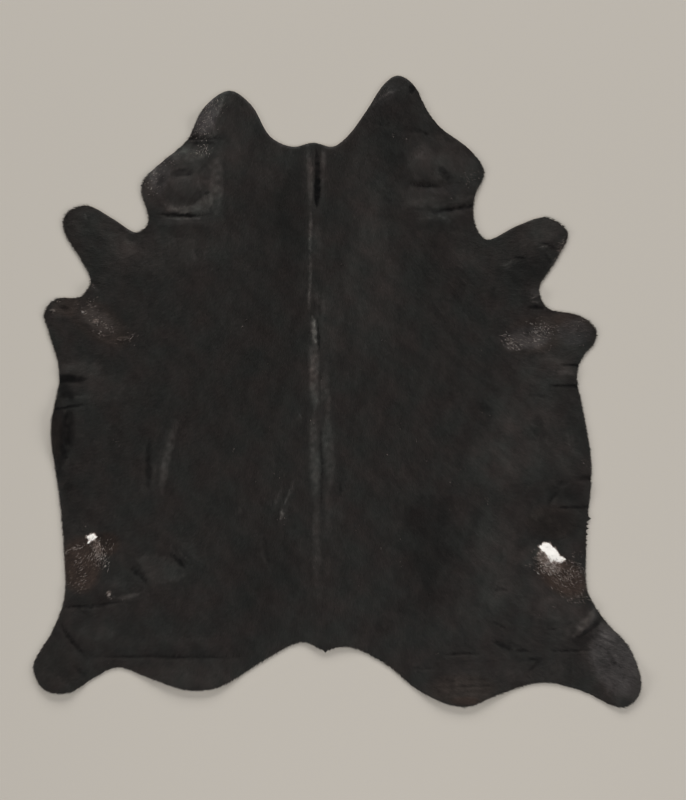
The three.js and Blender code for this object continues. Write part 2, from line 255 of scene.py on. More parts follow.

# Painted sheen and shade along the coat. Lighter streaks are painted sheen and light, at ridges, lips and
# partings where the hair lies another way. Darker ones are painted shade, in creases, grooves and hollows.
SHEEN_AND_SHADE_STREAKS = [Streak(*row) for row in (  # name, x0, y0, x1, y1, width, tone, bow
    ("mane groove", -70, 818, -66, 627, 26, -1.9),
    ("mane groove, foot", -68, 735, -65, 625, 30, -1.8),
    ("mane, left", -100, 831, -88, 627, 26, 0.85),
    ("mane, right", -42, 828, -48, 760, 20, 0.9),
    ("mane, right, lower", -48, 770, -44, 634, 16, 0.3),
    ("withers ridge, upper", -88, 627, -92, 460, 16, 1.1),
    ("withers ridge, lower", -92, 470, -94, 277, 16, 1.1),
    ("beside the withers ridge", -68, 566, -65, 440, 34, 0.3),
    ("withers curl", -78, 342, -54, 321, 10, 0.5),
    ("withers notch", -73, 318, -71, 270, 16, -0.5),
    ("beside the notch", -48, 318, -48, 253, 20, 0.3),
    ("withers whorl", -83, 257, -75, 158, 24, 1.4),
    ("withers whorl, core", -78, 245, -77, 206, 11, 0.8),
    ("slit beside the whorl", -66, 247, -61, 141, 9, -1.4),
    ("backbone", -80, 192, -78, -70, 44, 1.05),
    ("backbone crest", -53, 56, -53, -56, 8, 1.0),
    ("backbone, right", -41, 100, -31, -114, 34, 0.55),
    ("loin, left", -80, -63, -75, -386, 44, 0.8),
    ("loin parting", -53, -100, -53, -437, 8, -0.7),
    ("loin, right", -35, -80, -22, -335, 48, 0.65),
    ("loin, right end", -31, -335, -34, -471, 30, 0.3),
    ("croup", -70, -362, -68, -668, 34, 0.5),
    ("loin tick, right", 7, -315, 17, -359, 14, -1.0),
    ("backbone tick, left", -133, -77, -116, -94, 9, 0.9),
    ("loin streak", -148, -311, -180, -393, 10, 1.1),
    ("loin streak, lower", -184, -396, -192, -440, 16, 1.3),
    ("loin streak, outer", -184, -328, -214, -389, 12, 0.6),
    ("loin hollow", -160, -386, -146, -471, 44, -0.3),
    ("croup hollow", -248, -481, -221, -593, 22, -0.4, -8),
    ("croup light", -258, -532, -240, -593, 22, 0.35),
    ("belly tick", -337, -386, -326, -423, 18, 0.45),
    ("left neck parting", -383, 998, -408, 940, 12, 0.7),
    ("left neck crease, upper", -590, 858, -382, 862, 12, -1.7),
    ("left neck crease, lower", -510, 842, -418, 846, 9, -1.2),
    ("left neck hollow, outer", -615, 700, -566, 734, 28, -0.7, 4),
    ("left neck hollow, middle", -568, 733, -484, 744, 28, -1.2, 5),
    ("left neck hollow, inner", -479, 742, -442, 774, 14, -0.4),
    ("left neck band", -585, 792, -436, 800, 54, 0.6, 5),
    ("left pillow rim", -598, 646, -428, 656, 40, 0.6, -34),
    ("left pillow, right side", -449, 719, -428, 651, 40, 0.4, 8),
    ("left pillow spot", -449, 668, -435, 672, 12, -0.8),
    ("left cheek crease", -605, 605, -466, 597, 13, -1.9, -4),
    ("left cheek lip", -592, 586, -445, 586, 12, 0.75),
    ("left neck side", -411, 821, -411, 600, 64, 0.75),
    ("left shoulder pleat, first", -575, 522, -568, 488, 9, 0.4),
    ("left shoulder pleat, second", -544, 530, -537, 490, 9, -0.4),
    ("left shoulder pleat, third", -513, 480, -506, 446, 10, 0.4),
    ("left shoulder pleat, fourth", -480, 492, -472, 440, 10, -0.4),
    ("left shoulder pleat, fifth", -507, 577, -500, 549, 8, -0.4),
    ("left foreleg tick", -857, 607, -852, 587, 7, 1.3),
    ("left foreleg edge", -925, 563, -887, 580, 8, 0.7),
    ("left foreleg tip", -930, 605, -918, 590, 16, -0.7),
    ("left armpit crease", -830, 379, -799, 345, 12, -1.3),
    ("left elbow edge", -984, 270, -955, 282, 8, 1.6),
    ("left elbow hollow", -942, 287, -908, 277, 26, -0.7),
    ("left elbow hook", -756, 180, -685, 200, 9, 0.9, -8),
    ("left elbow, lower line", -830, 209, -739, 165, 14, 0.35),
    ("left side wedge", -1040, 37, -850, 42, 36, -2.2),
    ("left side ridge", -921, -26, -833, -15, 16, 0.45),
    ("left side wrinkle", -1010, -66, -850, -44, 13, -1.6),
    ("left flank groove", -913, -56, -930, -235, 64, -1.2, 4),
    ("left belly streak", -544, -97, -598, -355, 44, 0.75, -8),
    ("left belly streak, outer", -624, -240, -632, -342, 12, 0.6),
    ("left belly line", -636, -155, -644, -335, 24, -0.9, -5),
    ("left haunch line, outer", -704, -600, -636, -661, 15, -1.1, 3),
    ("left haunch line, inner", -575, -549, -510, -607, 17, -1.2, 4),
    ("left haunch lip", -551, -529, -483, -607, 10, 0.9),
    ("left haunch lip, second", -517, -546, -439, -593, 8, 0.7),
    ("left haunch tick", -779, -678, -772, -699, 11, 1.6),
    ("left haunch tick, second", -765, -689, -751, -706, 6, 0.9),
    ("left haunch bar", -748, -702, -666, -689, 24, 1.0),
    ("left haunch crease", -928, -734, -731, -712, 14, -1.3, -5),
    ("left haunch hollow", -874, -746, -847, -750, 16, -0.5),
    ("left shank crease", -937, -790, -853, -896, 17, -1.2, -10),
    ("left shank fold", -887, -940, -853, -971, 14, -0.6),
    ("left rump crease", -830, -899, -320, -903, 12, -0.8),
    ("left rump crease, deepest", -560, -903, -508, -903, 13, -0.5),
    ("right neck tip", 105, 967, 221, 1052, 46, 0.15, 14),
    ("right neck arc", 105, 957, 238, 1032, 9, 1.0, 14),
    ("right neck spot", 248, 1042, 253, 1015, 22, -2.2),
    ("right neck wrinkle, inner", 126, 916, 187, 906, 9, -0.9),
    ("right neck wrinkle, outer", 207, 886, 313, 876, 9, -1.0, 5),
    ("right neck wrinkle's end", 296, 879, 313, 874, 12, -1.3),
    ("right bulge hollow", 343, 767, 384, 712, 36, -1.1),
    ("right bulge spot", 360, 744, 394, 720, 36, -0.6),
    ("right bulge crease", 241, 705, 350, 699, 12, -1.6, -4),
    ("right cheek band", 238, 642, 380, 640, 46, 0.6),
    ("right cheek band, outer", 370, 645, 462, 662, 36, 0.6),
    ("right neck crease", 310, 606, 590, 664, 16, -1.8, -6),
    ("right neck lip, inner", 269, 587, 330, 593, 10, 0.8),
    ("right neck lip, outer", 340, 597, 391, 576, 9, 0.8),
    ("right neck dash, first", 125, 725, 172, 721, 7, -0.5),
    ("right neck dash, second", 150, 702, 204, 699, 7, -0.5),
    ("right neck dash, third", 128, 680, 184, 675, 7, -0.5),
    ("right neck dash, fourth", 158, 656, 206, 652, 7, -0.5),
    ("right foreleg light, inner", 568, 423, 605, 447, 9, 1.2),
    ("right foreleg wrinkle, inner", 592, 461, 639, 447, 12, -1.5),
    ("right foreleg wrinkle, outer", 683, 505, 745, 481, 10, -1.5, 5),
    ("right foreleg light, outer", 680, 485, 721, 495, 8, 1.1),
    ("right foreleg wrinkle, lower", 700, 467, 731, 440, 14, -1.3),
    # painted highlight where the foreleg's edge hair catches the light
    ("right foreleg rim", 776, 545, 727, 423, 13, 1.0, 5),
    ("right armpit curl", 653, 306, 687, 328, 9, 1.7, 6),
    ("right armpit curl, lower", 656, 301, 694, 304, 8, 1.4),
    ("right armpit hollow", 646, 286, 707, 287, 16, -1.8),
    ("right elbow fan", 819, 243, 799, 202, 12, 0.6),
    ("right side wrinkle, upper", 740, 90, 900, 86, 9, -1.5),
    ("right side ridge", 741, 70, 806, 56, 14, 0.35),
    ("right side wrinkle, lower", 712, 20, 900, 18, 12, -1.7),
    ("right flank wrinkle", 649, -12, 748, -29, 14, -0.5, 4),
    ("right flank light", 782, -131, 792, -192, 16, 0.8),
    ("right flank wedge", 822, -299, 940, -293, 22, -1.2),
    ("right flank spot", 748, -318, 776, -306, 15, -0.8),
    ("right flank hook", 717, -379, 745, -342, 12, -1.2),
    ("right flank crease", 745, -394, 872, -391, 12, -1.5),
    ("right haunch line", 557, -522, 555, -580, 7, -0.4),
    ("right haunch mark", 534, -675, 581, -675, 14, -0.7, 4),
    ("right rump tick, first", 527, -787, 578, -814, 9, -0.9, 3),
    ("right rump tick, second", 710, -807, 745, -807, 9, -0.9),
    ("right rump crease, first", 360, -892, 479, -891, 10, -1.0),
    ("right rump crease, second", 530, -848, 598, -879, 20, -1.3, 3),
    ("right rump crease, third", 598, -879, 653, -886, 14, -1.2),
    ("right rump crease, fourth", 639, -916, 700, -910, 12, -1.0),
    ("right rump line", 255, -940, 323, -940, 9, -0.5),
    ("right rump hook", 700, -905, 646, -955, 14, -0.8),
    ("under the right rump roll", 370, -950, 720, -940, 70, 0.15),
    ("right rump hair, first", 335, -990, 515, -982, 6, -0.5, 4),
    ("right rump hair, second", 350, -1010, 540, -1002, 6, -0.5, 4),
    ("right rump hair, third", 370, -1028, 520, -1022, 6, -0.4, 4),
    ("right hock crease", 731, -882, 860, -879, 10, -1.1),
    ("right hock line", 792, -896, 789, -981, 7, -0.35),
    ("right shank stripe", 804, -830, 884, -728, 40, 1.1),
    ("right shank crease", 816, -835, 911, -760, 22, -1.0, -4),
    ("right shank line, first", 874, -862, 942, -886, 8, -0.7),
    ("right shank line, second", 935, -920, 969, -940, 10, -0.8),
    ("right shank line, third", 860, -899, 881, -954, 10, -0.5),
    ("right shank hair, first", 874, -812, 930, -832, 6, -0.7),
    ("right shank hair, second", 872, -830, 955, -862, 6, -0.7),
    ("right shank hair, third", 880, -844, 960, -874, 7, 0.6),
    ("right shank hair, fourth", 890, -892, 985, -908, 7, 0.5),
    ("right shank blotch", 912, -880, 945, -940, 20, -0.5, 4),
)]

# Broad patches of painted sheen and shade on the coat, lighter or darker than around them, as soft
# ellipses turned by turn degrees.
SHEEN_AND_SHADE_ZONES = [Zone(*row) for row in (  # name, x, y, across, along, share, turn
    ("left neck flap", -371, 896, 116, 129, 0.25),
    ("left neck flap, foot", -432, 890, 48, 44, 0.45),
    ("left neck tip", -374, 1001, 34, 24, 0.5),
    ("left neck shoulder", -527, 826, 46, 26, 0.6, 25),
    ("left neck, inner", -220, 770, 115, 85, 0.18),
    ("left neck, middle", -360, 790, 70, 70, 0.25),
    ("left cheek, outer", -645, 640, 26, 40, 0.3),
    ("below the left neck crease", -459, 818, 50, 22, 0.5),
    ("left cheek", -546, 719, 125, 130, 0.56),
    ("left cheek edge", -640, 722, 34, 72, 0.6, -12),
    ("left pillow's corner", -445, 641, 26, 30, 0.1),
    ("left shoulder", -568, 481, 290, 85, 0.3, 8),
    ("left foreleg", -823, 576, 110, 60, 0.3, -20),
    ("left elbow", -816, 243, 75, 38, 0.75, -35),
    ("left elbow tip", -935, 284, 55, 40, 0.35),
    ("left armpit", -806, 311, 40, 30, 0.35),
    ("left side, upper", -865, 75, 85, 36, 0.5),
    ("left side hollow", -921, 5, 34, 28, -1.2),
    ("left side", -800, 10, 85, 60, 0.35),
    ("left flank edge", -945, -170, 32, 160, -0.8),
    ("left flank blotch", -911, -318, 26, 22, -0.6),
    ("left flank oval", -755, -189, 42, 80, -0.25),
    ("left flank", -880, -330, 60, 170, -0.15),
    ("left of the withers", -153, 583, 60, 260, -0.3),
    ("left shoulder, inner", -220, 600, 90, 110, -0.2),
    ("left back", -211, 209, 130, 330, -0.12),
    ("left ribs", -364, -29, 150, 250, -0.1),
    ("left ribs, outer", -600, -114, 110, 120, -0.12),
    ("left loin", -245, -607, 150, 160, -0.25),
    ("left croup", -313, -794, 130, 110, -0.15),
    ("left belly", -381, -403, 90, 60, -0.15),
    ("left haunch, lower", -820, -812, 75, 52, 0.32),
    ("left hip, dark part", -783, -507, 36, 28, -0.6),
    ("left hip", -862, -590, 70, 90, 0.2),
    ("beside the left hip", -755, -615, 55, 85, 0.2),
    ("left rump", -500, -964, 220, 55, 0.28),
    ("left shank", -942, -930, 100, 100, -0.1),
    ("right neck flap", 180, 930, 110, 120, -0.3),
    ("right neck bulge", 279, 767, 52, 60, 0.25),
    ("right cheek", 390, 735, 90, 90, 0.25),
    ("right cheek, inner", 250, 655, 40, 46, 0.4),
    ("under the right bulge", 350, 697, 95, 24, -0.4, -4),
    ("right cheek hollow", 401, 695, 60, 28, -0.3),
    ("right back", 112, 362, 120, 290, 0.3),
    ("right of the withers", -25, 230, 55, 180, 0.32),
    ("right neck", 110, 650, 70, 150, 0.15),
    ("right shoulder", 428, 454, 55, 45, 0.3),
    ("right shoulder, outer", 503, 464, 80, 70, 0.2),
    ("right shoulder hollow, inner", 411, 345, 30, 55, -0.35),
    ("right shoulder hollow, outer", 534, 321, 35, 25, -0.35),
    ("right shoulder hollow, upper", 323, 440, 45, 110, -0.25),
    ("under the right foreleg", 646, 406, 80, 62, -0.5, 20),
    ("right foreleg", 690, 545, 110, 60, 0.5, 25),
    ("right elbow, inner", 640, 165, 80, 34, 0.7, 8),
    ("right elbow", 694, 202, 42, 44, 0.4),
    ("right elbow, upper", 748, 240, 75, 32, 0.4),
    ("right elbow tip", 833, 209, 45, 50, 0.25),
    ("under the right elbow", 712, 68, 115, 60, 0.42),
    ("right side", 758, 141, 110, 65, 0.35),
    ("right flank", 639, -131, 150, 210, 0.38),
    ("right flank, light part", 595, -115, 45, 40, 0.25),
    ("right flank, outer", 775, -233, 60, 70, 0.25),
    ("right belly", 520, -250, 110, 110, 0.36),
    ("right flank shade", 775, -338, 90, 34, -0.5),
    ("right flank, brown part", 758, -447, 95, 50, -0.4),
    ("right hip, dark part", 705, -480, 70, 45, -0.3, -20),
    ("right hip", 775, -640, 100, 52, 0.45, -38),
    ("right hip, inner", 650, -560, 40, 45, 0.5, -30),
    ("right hip, lower", 656, -692, 90, 70, 0.35),
    ("right haunch, lower", 469, -726, 90, 60, 0.2),
    ("right rump, upper", 480, -800, 150, 70, 0.15),
    ("right hock, upper", 762, -822, 50, 34, 0.4),
    ("right loin", 309, -556, 130, 240, -0.24),
    ("right croup", 163, -794, 45, 40, -0.3),
    ("beside the croup", -10, -440, 40, 60, 0.2),
    ("croup, right", 30, -740, 60, 70, 0.15),
    ("right haunch", 537, -573, 90, 210, 0.44),
    ("right buttock", 758, -743, 100, 60, 0.5),
    ("right hock", 838, -848, 42, 34, -0.8),
    ("right shank", 935, -926, 115, 175, 0.22, 25),
    ("right shank, upper", 918, -814, 46, 34, 0.5, -30),
    ("right shank hollow", 908, -940, 30, 40, -0.3),
    ("right rump", 435, -1015, 110, 50, 0.25),
)]

# Parts brushed another way, each by its own outline, painted lighter for their sheen or darker for their
# shade.
BRUSHED_SHEEN_AND_SHADE = [Patch(*row) for row in (  # name, tone, outline
    ("left neck flap, outer half", 0.5, [
        (-374, 1008), (-401, 964), (-418, 906), (-428, 869), (-503, 865), (-490, 899), (-456, 964),
        (-415, 1001),
    ]),
    ("left pillow", -0.2, [
        (-608, 702), (-596, 725), (-557, 733), (-523, 722), (-483, 691), (-449, 674), (-460, 654),
        (-483, 645), (-517, 643), (-557, 637), (-585, 657), (-602, 679),
    ]),
    ("left pillow's lip", 0.65, [
        (-585, 641), (-551, 624), (-500, 631), (-466, 651), (-445, 675), (-425, 665), (-422, 634),
        (-439, 610), (-500, 604), (-561, 607),
    ]),
    ("left shoulder, outer", 0.5, [
        (-789, 532), (-738, 539), (-687, 505), (-670, 474), (-704, 454), (-748, 457), (-779, 491),
    ]),
    ("left shoulder, inner", 0.25, [(-512, 520), (-478, 508), (-466, 450), (-490, 437), (-505, 470)]),
    ("left haunch", 0.5, [
        (-687, -564), (-636, -539), (-585, -564), (-551, -598), (-517, -620), (-551, -645),
        (-602, -662), (-636, -637), (-670, -607),
    ]),
    ("right neck, light part", 0.15, [
        (44, 770), (85, 821), (129, 760), (160, 685), (146, 600), (173, 515), (119, 440), (65, 481),
        (78, 566), (37, 651),
    ]),
    ("right neck, dark part", -0.35, [(163, 821), (231, 821), (241, 760), (214, 712), (173, 736)]),
    ("right bulge", 0.3, [
        (238, 770), (258, 828), (306, 855), (360, 865), (428, 828), (486, 770), (493, 736),
        (452, 719), (384, 729), (340, 712), (272, 719),
    ]),
    ("right flank spot, upper", -0.5, [(479, -33), (510, -36), (524, -70), (496, -74), (479, -60)]),
    ("right flank spot, lower", -0.5, [
        (656, -90), (683, -84), (707, -100), (700, -124), (711, -145), (690, -165), (670, -145),
        (656, -134), (677, -121),
    ]),
    ("right shank", 0.28, [
        (887, -770), (935, -790), (995, -850), (1040, -950), (1040, -1050), (990, -1090),
        (935, -1062), (901, -1008), (870, -933), (853, -879), (867, -858), (908, -824),
    ]),
    ("right loin", -0.3, [
        (231, -369), (299, -352), (384, -366), (401, -411), (376, -454), (359, -505), (393, -539),
        (384, -590), (342, -607), (325, -658), (342, -700), (299, -751), (231, -763), (197, -743),
        (223, -712), (274, -692), (291, -658), (265, -615), (231, -590), (257, -539), (282, -505),
        (257, -471), (214, -437), (231, -403),
    ]),
)]

# Brown hair among the black.
BROWN = [Zone(*row) for row in (  # name, x, y, across, along, share, turn
    ("left hip", -872, -590, 85, 115, 0.9),
    ("left hip, inner", -785, -520, 55, 50, 0.8),
    ("right hip", 765, -628, 118, 72, 0.95, -38),
    ("left elbow", -813, 236, 150, 75, 0.45, -35),
    ("left elbow tip", -921, 287, 60, 40, 0.4),
    ("right elbow", 680, 195, 150, 80, 0.35, 15),
    ("right elbow tip", 800, 235, 80, 40, 0.4, -15),
    ("right rump", 425, -1015, 150, 65, 0.4),
    ("left shank", -949, -940, 95, 85, 0.15),
    ("right flank", 734, -444, 110, 70, 0.3),
    ("right rump edge", 435, -1052, 60, 18, 0.8),
    ("left flank roll", -955, -150, 30, 100, 0.35),
    ("right shank", 935, -920, 90, 140, 0.2, 25),
)]

# Grizzled hair.
GREY = [Zone(*row) for row in (  # name, x, y, across, along, share, turn
    ("left neck flap", -455, 945, 62, 90, 0.5, -15),
    ("left cheek", -605, 755, 45, 100, 0.35),
    ("right neck tip", 170, 1010, 70, 26, 0.2, 45),
    ("right shank", 940, -920, 90, 150, 0.5, 25),
    ("left elbow", -830, 250, 110, 50, 0.15, -35),
    ("right elbow", 640, 180, 110, 50, 0.4, 8),
    ("right elbow tip", 805, 200, 70, 55, 0.4),
)]

# White hair, each patch by its own outline.
WHITE = {
    "left hip": [
        (-854, -498), (-846, -491), (-838, -487), (-828, -487), (-820, -491), (-812, -499),
        (-824, -502), (-831, -506), (-838, -513), (-850, -521), (-846, -508), (-844, -502),
    ],
    "right hip": [
        (683, -529), (706, -514), (725, -519), (741, -536), (760, -560), (778, -571),
        (760, -584), (734, -579), (722, -586), (719, -569), (710, -552), (696, -541),
    ],
}

# Pale locks mixed into the coat.
PALE = [Zone(*row) for row in (  # name, x, y, across, along, share, turn
    ("right hip, beside the patch", 702, -569, 38, 22, 0.28, -59),
    ("right hip, below the patch", 731, -600, 38, 22, 0.3),
    ("left hip, below the patch", -816, -530, 16, 32, 0.2, 15),
    ("left haunch tick", -776, -688, 7, 11, 0.3, 15),
    ("left elbow", -824, 239, 12, 9, 0.2),
)]

# Which way the hair lies where it leaves the common flow: degrees from the tail's direction, to the right.
HEADINGS = [Heading(*row) for row in (  # name, x, y, reach, degrees
    ("left foreleg", -830, 560, 170, -105),
    ("right foreleg", 690, 520, 170, 105),
    ("left elbow", -900, 240, 120, -85),
    ("right elbow", 800, 190, 120, 85),
    ("left hip", -850, -590, 110, -55),
    ("left hip, inner", -800, -550, 50, 15),
    ("right hip", 760, -600, 130, 52),
    ("left shank", -950, -900, 150, -45),
    ("right shank", 930, -900, 150, 68),
    ("right rump", 425, -1010, 120, 70),
)]

# Where the edge hair hangs out further or less, and how far the leather's edge is drawn in under it.
FRINGES = [Fringe(*row) for row in (  # name, x, y, reach, overhang, drawn_in
    ("left flank", -920, -450, 130, 5, 2),
    ("right flank", 852, -470, 75, 2, 4),
    ("tail root", -8, -880, 28, 2, 6),
    ("right foreleg", 760, 480, 90, 5, 0),
)]

# Tufts that stand out of it, by the middle of their roots and how far their points reach past the leather.
TUFTS = [Tuft(*row) for row in (  # name, x, y, width, reach
    ("right flank, first", 851, -430, 31, 15),
    ("right flank, second", 848, -451, 12, 11),
    ("right flank, third", 847, -466, 18, 11),
    ("right flank, fourth", 846, -485, 19, 9),
    ("right flank, fifth", 845, -505, 15, 7),
    ("right flank, sixth", 845, -524, 18, 7),
    ("right flank, seventh", 846, -542, 14, 4),
    ("right flank, eighth", 846, -556, 14, 4),
    ("tail root, first", -38, -878, 24, 11),
    ("tail root, second", -27, -875, 9, 8),
    ("tail root, third", -15, -871, 9, 7),
    ("tail root, fourth", 3, -868, 10, 5),
    ("left flank, first", -943, -440, 14, 7),
    ("left flank, second", -939, -465, 13, 6),
    ("left flank, third", -935, -488, 14, 7),
    ("left flank, fourth", -931, -519, 14, 6),
    ("left flank, fifth", -922, -573, 13, 5),
)]

# Single pale hairs over the coat.
FLECKS = [Flecks(*row) for row in (  # name, x, y, across, along, count, pale, length, turn
    ("left hip fan", -809, -549, 22, 40, 260, 0.75, 10, 15),
    ("left hip fan, foot", -813, -566, 24, 22, 180, 0.8, 8),
    ("left hip, inner", -772, -522, 12, 36, 22, 0.6, 8),
    ("left hip wing", -887, -532, 34, 5, 60, 0.7, 10, 20),
    ("left hip, outer", -867, -590, 44, 36, 72, 0.7, 10),
    ("left hip, lower", -881, -658, 30, 30, 44, 0.75, 7),
    ("left hip edge", -921, -546, 5, 4, 8, 0.9, 8),
    ("right hip fringe", 721, -597, 32, 18, 420, 0.9, 11, -15),
    ("right hip", 785, -622, 48, 40, 340, 0.65, 13),
    ("right hip, lower", 816, -699, 46, 28, 110, 0.6, 11),
    ("right hip, inner", 680, -580, 30, 34, 60, 0.6, 9),
    ("right hip, upper", 819, -556, 26, 14, 20, 0.6, 9),
    ("left elbow", -800, 232, 85, 8, 120, 0.7, 6, -33),
    ("left elbow, upper", -830, 287, 24, 22, 50, 0.5, 9),
    ("left elbow hook", -721, 182, 40, 9, 26, 0.6, 10, 25),
    ("left elbow, lower", -816, 202, 26, 7, 14, 0.9, 6, -35),
    ("left elbow star", -862, 269, 6, 6, 22, 1.0, 6),
    ("left elbow star, second", -821, 238, 6, 5, 20, 1.0, 6),
    ("left elbow star, third", -841, 241, 4, 4, 8, 0.9, 5),
    ("left elbow star, fourth", -814, 232, 5, 4, 14, 1.0, 5),
    ("left elbow star, fifth", -827, 207, 4, 4, 10, 0.9, 5),
    ("left elbow star, sixth", -806, 200, 5, 4, 12, 1.0, 5),
    ("left elbow star, seventh", -795, 192, 6, 4, 8, 0.7, 5),
    ("left elbow star, eighth", -835, 299, 5, 4, 8, 0.7, 5),
    ("left elbow edge", -948, 307, 4, 4, 10, 1.0, 5),
    ("left elbow tip", -969, 270, 12, 8, 10, 0.5, 10, 20),
    ("right elbow, inner", 588, 168, 38, 14, 140, 0.85, 9, -32),
    ("right elbow, middle", 636, 175, 40, 18, 30, 0.3, 8),
    ("right elbow", 690, 199, 40, 42, 260, 0.85, 6, 20),
    ("right elbow tip", 816, 199, 50, 50, 70, 0.4, 8),
    # painted highlight: pale hairs for the foreleg's edge hair catching the light
    ("right foreleg rim", 757, 480, 7, 66, 170, 0.35, 8, -22),
    ("left neck flap", -445, 937, 40, 88, 480, 0.62, 5, -38),
    ("below the left neck crease", -456, 821, 42, 16, 90, 0.7, 5),
    ("left cheek", -626, 719, 24, 62, 150, 0.7, 5, -10),
    ("left cheek, upper", -581, 774, 40, 16, 50, 0.5, 5, 35),
    ("right neck tip", 160, 1025, 55, 20, 40, 0.3, 5, 40),
    ("right cheek", 452, 733, 24, 30, 70, 0.55, 5),
    ("left armpit", -826, 359, 10, 10, 8, 0.8, 7),
    ("left haunch", -775, -692, 4, 13, 8, 0.9, 8, 25),
    ("whole coat", -60, -150, 1000, 1000, 220, 0.5, 6),
)]


# Shapes felt at points

def smooth_step(value, low, high):
    """Eases from 0 at low to 1 at high."""
    share = np.clip((value - low) / (high - low), 0, 1)
    return share * share * (3 - 2 * share)


def stroke_share(points, stroke, core=0, taper=0):
    """How much of a fold or streak is felt at each point, from 0 off it to 1 within its core."""
    start = np.array((stroke.x0, stroke.y0), float)
    end = np.array((stroke.x1, stroke.y1), float)
    margin = stroke.width / 2 + abs(stroke.bow)
    low, high = np.minimum(start, end) - margin, np.maximum(start, end) + margin
    near = np.all((points > low) & (points < high), axis=1)
    run = end - start
    length = math.hypot(*run)
    side = np.array((-run[1], run[0])) / length
    offset = points[near] - start
    share = np.clip(offset @ run / length**2, 0, 1)
    bow = 4 * stroke.bow * share * (1 - share)
    off = offset - share[:, None] * run - bow[:, None] * side
    to_end = np.abs(2 * share - 1) ** 3
    across = 1 - smooth_step(np.hypot(*off.T) / (stroke.width / 2 * (1 - taper * to_end)), core, 1)
    along = 1 + (FOLD_END - 1) * to_end
    felt = np.zeros(len(points))
    felt[near] = across * along
    return felt


def zone_share(points, zone):
    """How much of a soft ellipse is felt at each point."""
    turn = math.radians(zone.turn)
    dx, dy = points[:, 0] - zone.x, points[:, 1] - zone.y
    u = (dx * math.cos(turn) + dy * math.sin(turn)) / zone.across
    v = (dy * math.cos(turn) - dx * math.sin(turn)) / zone.along
    return zone.share * (1 - smooth_step(np.hypot(u, v), ZONE_CORE, 1))


def mixed(points, zones):
    """The share of a hair colour at each point, where its zones may overlap."""
    bare = np.ones(len(points))
    for zone in zones:
        bare *= 1 - zone_share(points, zone)
    return 1 - bare


def nearness(points, place):
    """How much of a place with a soft reach is felt at each point."""
    gap = np.hypot(points[:, 0] - place.x, points[:, 1] - place.y)
    return np.exp(-((gap / place.reach) ** 2))


def inside(points, loop):
    """Whether each point lies within a closed outline."""
    x, y = points.T
    within = np.zeros(len(points), bool)
    for (x0, y0), (x1, y1) in zip(loop, np.roll(loop, -1, axis=0)):
        if y0 != y1:
            level = (y0 > y) != (y1 > y)
            within ^= level & (x < x0 + (y - y0) * (x1 - x0) / (y1 - y0))
    return within


def waves(points, size, seed):
    """A smooth unevenness of about -1 to 1, with swells about size across."""
    rng = np.random.default_rng(seed)
    total = np.zeros(len(points))
    for _ in range(WAVE_COUNT):
        angle, phase = rng.uniform(0, 2 * math.pi, 2)
        pitch = 2 * math.pi / (size * rng.uniform(*WAVE_SPREAD))
        total += np.sin(points @ (pitch * np.array((math.cos(angle), math.sin(angle)))) + phase)
    return total / math.sqrt(WAVE_COUNT)


def frayed(points, frays):
    """Points swayed a little to and fro, so that shapes felt at them have uneven borders."""
    moved = points.copy()
    for size, sway in frays:
        moved += sway * np.stack([waves(points, size, seed) for seed in FRAY_SEEDS], axis=1)
    return moved


# Heights over the floor

def lift(points):
    """How far the hide stands clear of the floor."""
    return sum(fold.rise * stroke_share(points, fold) for fold in LIFTS)


def skin_height(points):
    """How high the hair side is."""
    relief = sum(fold.rise * stroke_share(points, fold) for fold in RELIEF)
    return FLOOR_GAP + lift(points) + np.maximum(LEATHER + relief, THINNEST)


# The lie of the hair

def hair_turns(points):
    """Which way the hair lies at each point, in degrees from the tail's direction, to the right."""
    off = points[:, 0] - SPINE_X
    turn = np.sign(off) * FLANK_TURN * smooth_step(np.abs(off), FLANK_START, FLANK_REACH)
    weight = np.ones(len(points))
    for heading in HEADINGS:
        near = HEADING_WEIGHT * nearness(points, heading)
        turn += near * heading.degrees
        weight += near
    return turn / weight + TURN_SWELL * waves(points, TURN_SWELL_SIZE, FLOW_SEED)


def ways_of(points, stray, rng):
    """The direction of each lock, with a little of its own will."""
    turn = np.radians(hair_turns(points) + rng.normal(0, stray, len(points)))
    return np.stack((np.sin(turn), -np.cos(turn)), axis=1)


# The cut edge

def cut_edge(node):
    """The hide's cut edge as a loop of points seen from above, anticlockwise."""
    solid = bmesh.new()
    solid.from_mesh(node.data)
    bmesh.ops.remove_doubles(solid, verts=solid.verts, dist=WELD * MM)
    solid.normal_update()
    beside = {}
    for edge in solid.edges:
        rises = [face.normal.z for face in edge.link_faces]
        if max(rises) > STEEP and abs(min(rises)) < STEEP:
            for one, other in (edge.verts, reversed(edge.verts)):
                beside.setdefault(one, []).append(other)
    loop = [next(iter(beside))]
    seen = set()
    while loop[-1] not in seen:
        seen.add(loop[-1])
        loop.extend([corner for corner in beside[loop[-1]] if corner not in seen][:1])
    points = np.array([corner.co.xy for corner in loop]) / MM
    solid.free()
    x, y = points.T
    turns = np.sum(x * np.roll(y, -1) - np.roll(x, -1) * y)
    return points if turns > 0 else points[::-1]


def evenly_spaced(loop, step):
    """Points along a loop, a step apart."""
    closed = np.vstack((loop, loop[:1]))
    along = np.concatenate(([0], np.cumsum(np.hypot(*np.diff(closed, axis=0).T))))
    count = round(along[-1] / step)
    stops = np.arange(count) * along[-1] / count
    return np.stack([np.interp(stops, along, closed[:, axis]) for axis in (0, 1)], axis=1)


def outward_sides(loop):
    """The way out of the hide at each point of a loop."""
    run = np.roll(loop, -1, axis=0) - np.roll(loop, 1, axis=0)
    side = np.stack((run[:, 1], -run[:, 0]), axis=1)
    return side / np.hypot(*side.T)[:, None]


def nearest(points, loop):
    """For each point, the nearest place on the loop and the distance to it."""
    tree = KDTree(len(loop))
    for index, (x, y) in enumerate(loop):
        tree.insert((x, y, 0), index)
    tree.balance()
    found = [tree.find((x, y, 0))[1:] for x, y in points]
    return np.array([place for place, _ in found]), np.array([gap for _, gap in found])


